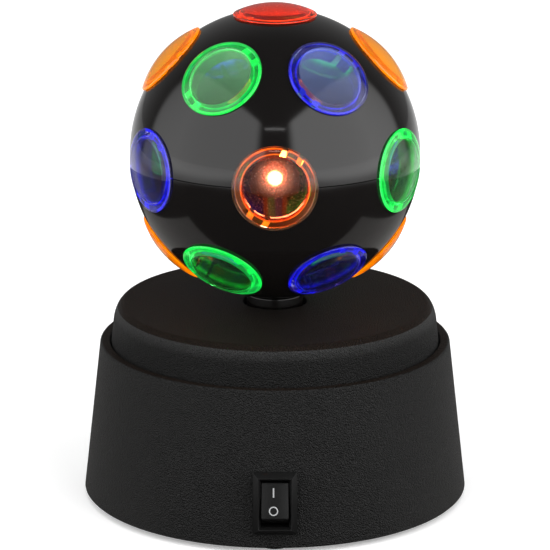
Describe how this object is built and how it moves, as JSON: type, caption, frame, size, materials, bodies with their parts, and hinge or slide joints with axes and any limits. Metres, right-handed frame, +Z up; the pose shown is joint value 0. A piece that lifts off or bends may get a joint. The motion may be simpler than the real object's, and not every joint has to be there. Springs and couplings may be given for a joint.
{
  "type": "battery disco lamp",
  "caption": "Table lamp with a black ball of coloured lens caps that a geared motor turns above a round black base with a rocker switch.",
  "frame": {"origin": "point on the ball's axis at table level, under the feet", "axes": "+Z up along the ball's axis, -Y towards the rocker switch in the front wall, +X to the right as seen from the front"},
  "size_m": [0.094, 0.0957, 0.1216],
  "materials": {
    "black_moulding": "black moulding with a leather grain",
    "ball_black": "polished black moulding",
    "switch_black": "smooth satin black moulding",
    "white_moulding": "natural white moulding",
    "foot_rubber": "dull black rubber",
    "steel": "bright drawn steel",
    "spring_steel": "plated spring steel",
    "brass": "turned brass",
    "cell_sleeve": "plain printed-free cell sleeve",
    "lead_black": "black lead insulation",
    "led_warm": "clear lit diode, warm red",
    "led_green": "clear lit diode, green",
    "led_blue": "clear lit diode, blue",
    "lens_red": "see-through red moulding",
    "lens_green": "see-through green moulding",
    "lens_blue": "see-through blue moulding",
    "lens_amber": "see-through amber moulding"
  },
  "bodies": {
    "base": {"base_body": "black_moulding", "top_cap": "black_moulding", "bottom_plate": "black_moulding", "foot_front": "foot_rubber", "foot_right": "foot_rubber", "foot_left": "foot_rubber", "bottom_screw_1": "steel", "bottom_screw_2": "steel", "bottom_screw_3": "steel", "gear_plate_screw_1": "steel", "gear_plate_screw_2": "steel", "gear_plate_screw_3": "steel", "battery_cell_1": "cell_sleeve", "battery_cell_2": "cell_sleeve", "battery_cell_3": "cell_sleeve", "contact_positive": "spring_steel", "contact_bridge_right": "spring_steel", "contact_bridge_left": "spring_steel", "contact_negative": "spring_steel", "gear_plate": "white_moulding", "first_gear_axle": "steel", "second_gear_axle": "steel", "motor_can": "steel", "led_mast": "steel", "mast_clip": "steel", "led_carrier": "white_moulding", "led_front": "led_warm", "led_right": "led_green", "led_left": "led_blue", "switch_body": "switch_black", "wiring_loom": "lead_black"},
    "ball": {"ball_neck": "ball_black", "lower_ball_shell": "ball_black", "upper_ball_shell": "ball_black", "ball_drive_gear": "white_moulding", "lens_upper_front_right_blue": "lens_blue", "lens_upper_right_amber": "lens_amber", "lens_upper_rear_right_green": "lens_green", "lens_upper_rear_left_blue": "lens_blue", "lens_upper_left_amber": "lens_amber", "lens_upper_front_left_green": "lens_green", "lens_lower_front_right_blue": "lens_blue", "lens_lower_right_amber": "lens_amber", "lens_lower_rear_right_green": "lens_green", "lens_lower_rear_left_blue": "lens_blue", "lens_lower_left_amber": "lens_amber", "lens_lower_front_left_green": "lens_green", "lens_middle_front_red": "lens_red", "lens_middle_front_right_green": "lens_green", "lens_middle_rear_right_blue": "lens_blue", "lens_middle_rear_red": "lens_red", "lens_middle_rear_left_green": "lens_green", "lens_middle_front_left_blue": "lens_blue", "lens_top_red": "lens_red"},
    "second_gear": {"second_reduction_gear": "white_moulding"},
    "first_gear": {"first_reduction_gear": "white_moulding"},
    "motor_rotor": {"motor_shaft": "steel", "motor_pinion": "brass"},
    "rocker": {"switch_rocker": "switch_black"},
    "door": {"battery_door": "black_moulding"}
  },
  "joints": [
    {"name": "ball_spin", "type": "hinge", "parent": "base", "child": "ball", "pos_m": [0, 0, 0.085], "axis": [0, 0, 1], "continuous": true},
    {"name": "second_gear_spin", "type": "hinge", "parent": "base", "child": "second_gear", "pos_m": [0.01781, 0.00261, 0.0413], "axis": [0, 0, 1], "continuous": true},
    {"name": "first_gear_spin", "type": "hinge", "parent": "base", "child": "first_gear", "pos_m": [0.01386, 0.01708, 0.0383], "axis": [0, 0, 1], "continuous": true},
    {"name": "motor_spin", "type": "hinge", "parent": "base", "child": "motor_rotor", "pos_m": [0, 0.0228, 0.0368], "axis": [0, 0, 1], "continuous": true},
    {"name": "rocker_tilt", "type": "hinge", "parent": "base", "child": "rocker", "pos_m": [0, -0.04361, 0.01185], "axis": [1, 0, 0], "range_deg": [0, 26]},
    {"name": "battery_door_hinge", "type": "hinge", "parent": "base", "child": "door", "pos_m": [0, 0.02225, 0.0015], "axis": [1, 0, 0], "range_deg": [0, 75]}
  ],
  "couplings": [
    {"joint": "second_gear_spin", "follows": "ball_spin", "ratio": -5},
    {"joint": "first_gear_spin", "follows": "ball_spin", "ratio": 20},
    {"joint": "motor_spin", "follows": "ball_spin", "ratio": -80}
  ]
}
